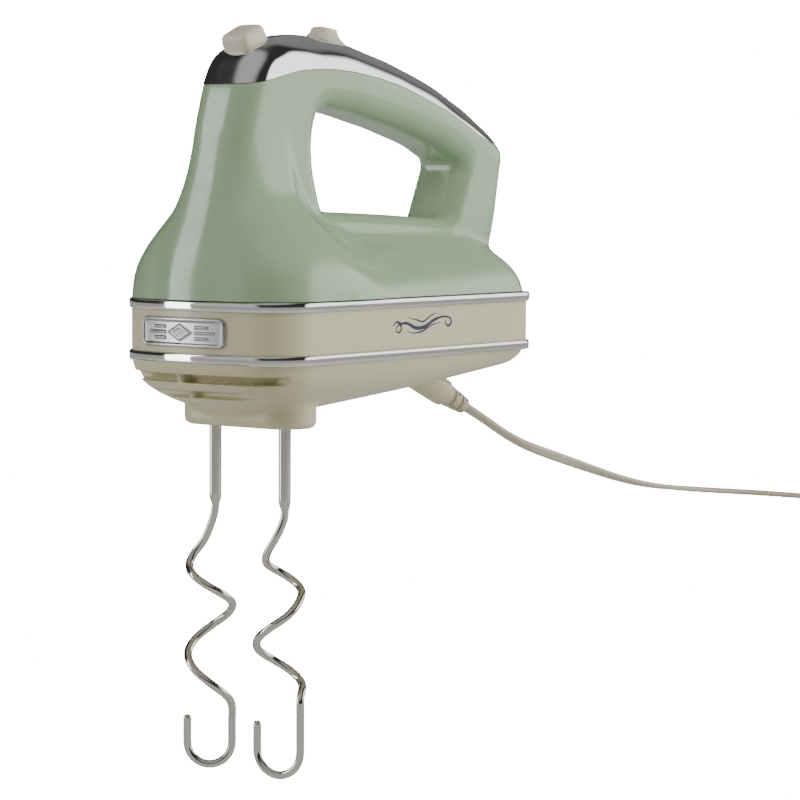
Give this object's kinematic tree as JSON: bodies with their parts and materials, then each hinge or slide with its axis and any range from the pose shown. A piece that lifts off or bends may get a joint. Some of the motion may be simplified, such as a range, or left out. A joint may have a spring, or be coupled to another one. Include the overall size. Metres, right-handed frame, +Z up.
{
  "type": "hand mixer",
  "caption": "Retro hand-held mixer with a loop handle, chrome trim, eject button, speed slider, louvred base, wire dough hooks and a flat mains lead.",
  "frame": {"origin": "centre of the handle's grip, where a hand holds the mixer", "axes": "+X from the nose towards the heel where the lead leaves, +Y to the left spindle, +Z up; the hooks hang down"},
  "size_m": [0.4261, 0.2011, 0.3227],
  "materials": {
    "green_shell": "glossy moulded plastic, sage green",
    "cover_chrome": "mirror chrome plate on plastic",
    "trim_chrome": "mirror chrome plate on plastic",
    "cream_plastic": "semi-gloss moulded plastic, warm cream",
    "plaque_metal": "embossed and lightly brushed",
    "control_plastic": "satin moulded plastic, off-white",
    "hook_steel": "bright chrome-plated steel wire",
    "screw_steel": "zinc plated",
    "gear_nylon": "moulded nylon",
    "inner_plastic": "glass-filled nylon, black",
    "bush_bronze": "sintered bronze",
    "shaft_steel": "ground steel",
    "spring_steel": "hard-drawn spring wire",
    "lamination_steel": "stacked and varnished laminations",
    "winding_copper": "enamelled copper wire",
    "contact_brass": "pressed brass",
    "brush_carbon": "pressed carbon",
    "capacitor_case": "moulded box, yellow",
    "guard_rubber": "soft moulded plastic, cream",
    "cord_jacket": "smooth flexible jacket, cream",
    "plug_plastic": "moulded plug body, cream",
    "pin_metal": "plated brass pins"
  },
  "bodies": {
    "housing": {"base_cover": "cream_plastic", "brush_holders": "contact_brass", "brush_springs": "spring_steel", "carbon_brushes": "brush_carbon", "case_screws": "screw_steel", "chrome_cover": "cover_chrome", "cord_coil": "cord_jacket", "cord_guard": "guard_rubber", "eject_guide": "inner_plastic", "eject_spring": "spring_steel", "field_coils": "winding_copper", "gearbox_cover": "inner_plastic", "gearbox_housing": "inner_plastic", "lower_bush_left": "bush_bronze", "lower_bush_right": "bush_bronze", "lower_trim_ring": "trim_chrome", "middle_band": "cream_plastic", "motor_bracket": "inner_plastic", "nose_plaque": "plaque_metal", "plug_body": "plug_plastic", "plug_pins": "pin_metal", "power_cord": "cord_jacket", "power_cord_tail": "cord_jacket", "shaft_bush_front": "bush_bronze", "shaft_bush_middle": "bush_bronze", "shaft_bush_rear": "bush_bronze", "stator_core": "lamination_steel", "suppression_capacitor": "capacitor_case", "switch_contacts": "contact_brass", "switch_housing": "inner_plastic", "terminal_block": "inner_plastic", "thrust_washer_left": "shaft_steel", "thrust_washer_right": "shaft_steel", "upper_bush_left": "bush_bronze", "upper_bush_right": "bush_bronze", "upper_shell": "green_shell", "upper_trim_ring": "trim_chrome"},
    "armature": {"armature_shaft": "shaft_steel", "rotor_core": "lamination_steel", "rotor_windings": "winding_copper", "commutator": "winding_copper", "cooling_fan": "inner_plastic"},
    "spindle_left": {"spindle_left": "shaft_steel", "worm_wheel_left": "gear_nylon", "hook_clip_left": "spring_steel"},
    "spindle_right": {"spindle_right": "shaft_steel", "worm_wheel_right": "gear_nylon", "hook_clip_right": "spring_steel"},
    "hook_left": {"hook_left": "hook_steel"},
    "hook_right": {"hook_right": "hook_steel"},
    "speed_slider": {"speed_slider": "control_plastic", "slider_carriage": "inner_plastic"},
    "eject_button": {"eject_button": "control_plastic"},
    "eject_rod": {"eject_rod": "inner_plastic"}
  },
  "joints": [
    {"name": "armature_spin", "type": "hinge", "parent": "housing", "child": "armature", "pos_m": [-0.018, 0, -0.104], "axis": [1, 0, 0], "continuous": true},
    {"name": "spindle_left_spin", "type": "hinge", "parent": "housing", "child": "spindle_left", "pos_m": [-0.078, 0.02, -0.104], "axis": [0, 0, 1], "continuous": true},
    {"name": "spindle_right_spin", "type": "hinge", "parent": "housing", "child": "spindle_right", "pos_m": [-0.078, -0.02, -0.104], "axis": [0, 0, 1], "continuous": true},
    {"name": "hook_left_pull", "type": "slide", "parent": "spindle_left", "child": "hook_left", "axis": [0, 0, -1], "range_m": [0, 0.04]},
    {"name": "hook_right_pull", "type": "slide", "parent": "spindle_right", "child": "hook_right", "axis": [0, 0, -1], "range_m": [0, 0.04]},
    {"name": "speed_slide", "type": "slide", "parent": "housing", "child": "speed_slider", "axis": [0.9889, 0, -0.1483], "range_m": [0, 0.016]},
    {"name": "eject_press", "type": "slide", "parent": "housing", "child": "eject_button", "axis": [0.309, 0, -0.9511], "range_m": [0, 0.005], "stiffness_N_per_m": 300, "springref_m": -0.004},
    {"name": "eject_rod_press", "type": "slide", "parent": "housing", "child": "eject_rod", "axis": [0, 0, -1], "range_m": [0, 0.0048], "deforming": ["eject_spring"]}
  ],
  "couplings": [
    {"joint": "spindle_left_spin", "follows": "armature_spin", "ratio": -0.066667},
    {"joint": "spindle_right_spin", "follows": "armature_spin", "ratio": 0.066667},
    {"joint": "eject_rod_press", "follows": "eject_press", "ratio": 0.95106}
  ]
}
